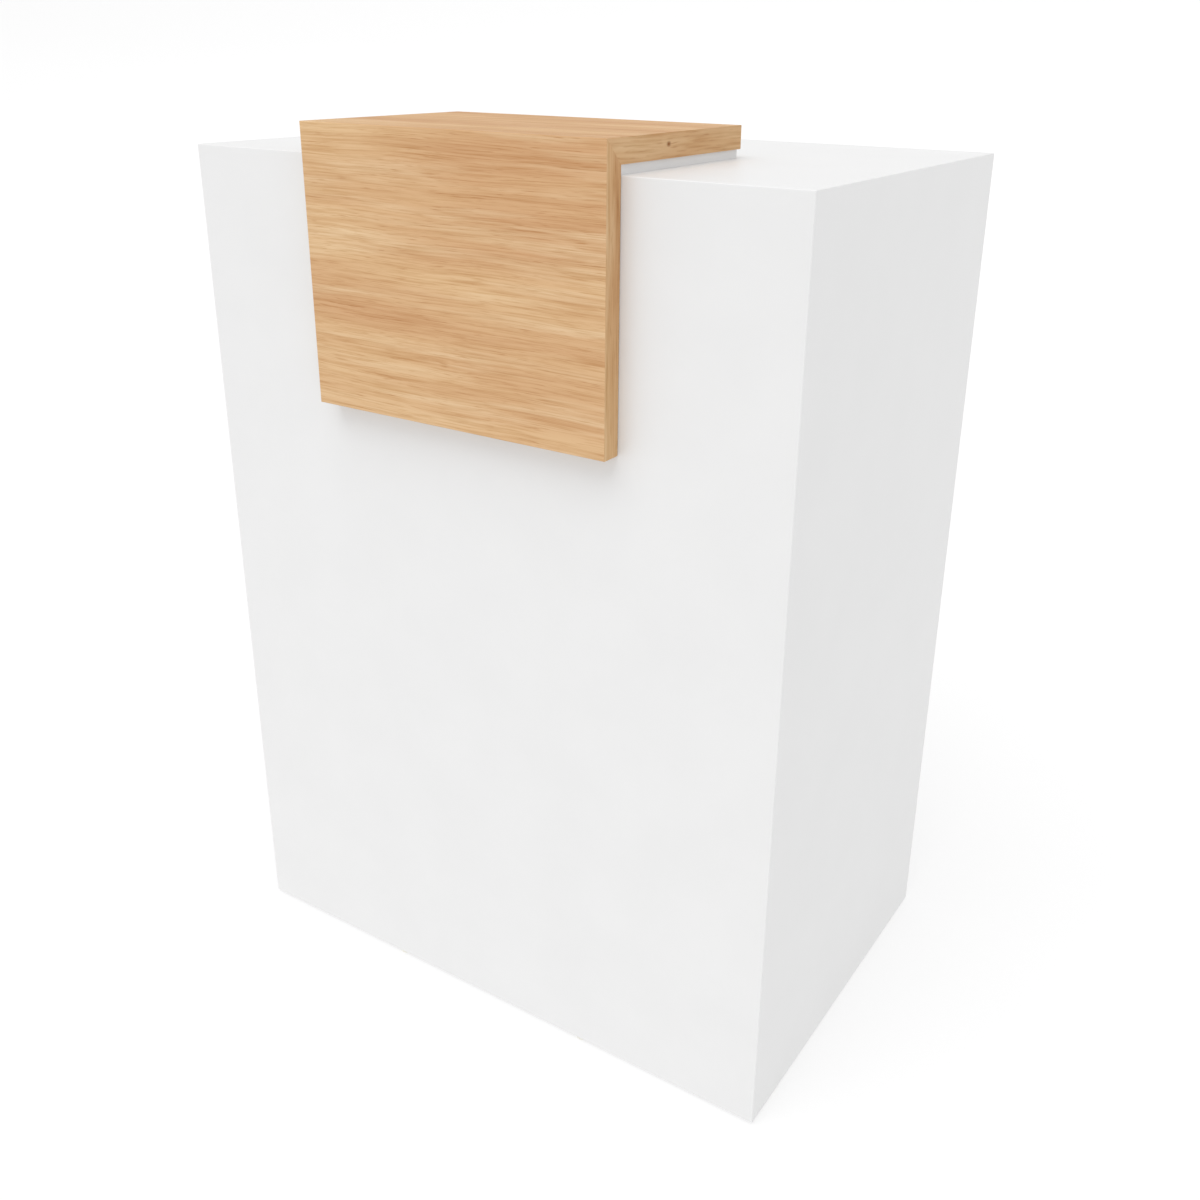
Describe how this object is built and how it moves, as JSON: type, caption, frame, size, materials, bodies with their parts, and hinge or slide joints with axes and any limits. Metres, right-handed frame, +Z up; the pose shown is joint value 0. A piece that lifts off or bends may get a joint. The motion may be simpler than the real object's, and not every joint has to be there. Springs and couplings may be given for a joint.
{
  "type": "book drop box",
  "caption": "White panelled book drop cabinet with an oak waterfall cap, a flapped return slot and a roll-out bin with a sprung floor.",
  "frame": {"origin": "middle of the overall footprint, on the floor", "axes": "+Z up, +Y towards the working face with the slot and the bin, -Y towards the plain face with the oak apron, +X to the right when facing the plain face"},
  "size_m": [0.8, 0.571, 1.115],
  "materials": {
    "white_melamine": "fine satin melamine facing on board",
    "oak": "matt lacquered light oak facing",
    "birch_plywood": "clear lacquered plywood",
    "spruce": "planed bare softwood",
    "stainless": "brushed",
    "zinc_plated_steel": "bright zinc plating",
    "powder_coated_steel": "fine powder coat",
    "aluminium": "satin anodised",
    "spring_steel": "oiled wire",
    "nylon": "moulded",
    "black_plastic": "moulded",
    "rubber": "moulded",
    "felt": "needled wool felt",
    "castor_wheel": "grey non-marking tread"
  },
  "bodies": {
    "cabinet": {"front_panel": "white_melamine", "left_side_panel": "white_melamine", "right_side_panel": "white_melamine", "top_panel": "white_melamine", "slot_panel": "white_melamine", "rear_rail": "white_melamine", "base_rail": "white_melamine", "guide_rails": "spruce", "corner_cleats": "spruce", "floor_glides": "nylon", "shelf_board": "oak", "apron_board": "oak", "cap_packer": "white_melamine", "cap_spacers": "black_plastic", "cap_screws": "zinc_plated_steel", "slot_bezel": "stainless", "bezel_screws": "stainless", "flap_brackets": "zinc_plated_steel", "flap_bushes": "nylon", "throat_seal": "rubber", "chute_plate": "powder_coated_steel", "chute_cheeks": "powder_coated_steel", "chute_liner": "felt", "inner_screws": "zinc_plated_steel", "strike_plate": "zinc_plated_steel", "anchor_brackets": "zinc_plated_steel", "frame_screws": "zinc_plated_steel"},
    "flap": {"slot_flap": "stainless", "flap_rod": "stainless", "rod_clips": "spring_steel", "flap_edge": "rubber"},
    "bin": {"bin_fascia": "white_melamine", "bin_base": "birch_plywood", "bin_left_panel": "birch_plywood", "bin_right_panel": "birch_plywood", "bin_inner_panel": "birch_plywood", "bin_outer_panel": "birch_plywood", "bin_rim": "aluminium", "bin_handle": "stainless", "fascia_screws": "zinc_plated_steel", "fascia_pads": "felt", "guide_rods": "stainless", "rod_collars": "zinc_plated_steel", "platform_springs": "spring_steel", "swivel_plates": "zinc_plated_steel", "fixed_castor_forks": "zinc_plated_steel", "castor_screws": "zinc_plated_steel", "lock_barrel": "zinc_plated_steel", "lock_nut": "zinc_plated_steel"},
    "platform": {"platform_board": "birch_plywood", "platform_felt": "felt", "platform_bushes": "nylon"},
    "lock": {"lock_plug": "zinc_plated_steel", "lock_cam": "zinc_plated_steel"},
    "left_castor": {"left_castor_fork": "zinc_plated_steel"},
    "right_castor": {"right_castor_fork": "zinc_plated_steel"},
    "inner_left_roller": {"inner_left_wheel": "castor_wheel"},
    "inner_right_roller": {"inner_right_wheel": "castor_wheel"},
    "outer_left_roller": {"outer_left_wheel": "castor_wheel"},
    "outer_right_roller": {"outer_right_wheel": "castor_wheel"}
  },
  "joints": [
    {"name": "bin_roll", "type": "slide", "parent": "cabinet", "child": "bin", "axis": [0, 1, 0], "range_m": [0, 0.52]},
    {"name": "platform_sink", "type": "slide", "parent": "bin", "child": "platform", "axis": [0, 0, -1], "range_m": [0, 0.15], "stiffness_N_per_m": 2600, "springref_m": -0.02, "deforming": ["platform_springs"]},
    {"name": "flap_swing", "type": "hinge", "parent": "cabinet", "child": "flap", "pos_m": [0, 0.2225, 0.937], "axis": [-1, 0, 0], "range_deg": [0, 60]},
    {"name": "lock_turn", "type": "hinge", "parent": "bin", "child": "lock", "pos_m": [0, 0.2505, 0.584], "axis": [0, 1, 0], "range_deg": [0, 90]},
    {"name": "left_castor_swivel", "type": "hinge", "parent": "bin", "child": "left_castor", "pos_m": [-0.308, 0.1745, 0.06], "axis": [0, 0, 1], "continuous": true},
    {"name": "outer_left_wheel_roll", "type": "hinge", "parent": "left_castor", "child": "outer_left_roller", "pos_m": [-0.308, 0.1525, 0.025], "axis": [-1, 0, 0], "continuous": true},
    {"name": "inner_left_wheel_roll", "type": "hinge", "parent": "bin", "child": "inner_left_roller", "pos_m": [-0.308, -0.1675, 0.025], "axis": [-1, 0, 0], "continuous": true},
    {"name": "right_castor_swivel", "type": "hinge", "parent": "bin", "child": "right_castor", "pos_m": [0.308, 0.1745, 0.06], "axis": [0, 0, 1], "continuous": true},
    {"name": "outer_right_wheel_roll", "type": "hinge", "parent": "right_castor", "child": "outer_right_roller", "pos_m": [0.308, 0.1525, 0.025], "axis": [-1, 0, 0], "continuous": true},
    {"name": "inner_right_wheel_roll", "type": "hinge", "parent": "bin", "child": "inner_right_roller", "pos_m": [0.308, -0.1675, 0.025], "axis": [-1, 0, 0], "continuous": true}
  ],
  "couplings": [
    {"joint": "outer_left_wheel_roll", "follows": "bin_roll", "rad_per_m": 40},
    {"joint": "inner_left_wheel_roll", "follows": "bin_roll", "rad_per_m": 40},
    {"joint": "outer_right_wheel_roll", "follows": "bin_roll", "rad_per_m": 40},
    {"joint": "inner_right_wheel_roll", "follows": "bin_roll", "rad_per_m": 40}
  ]
}
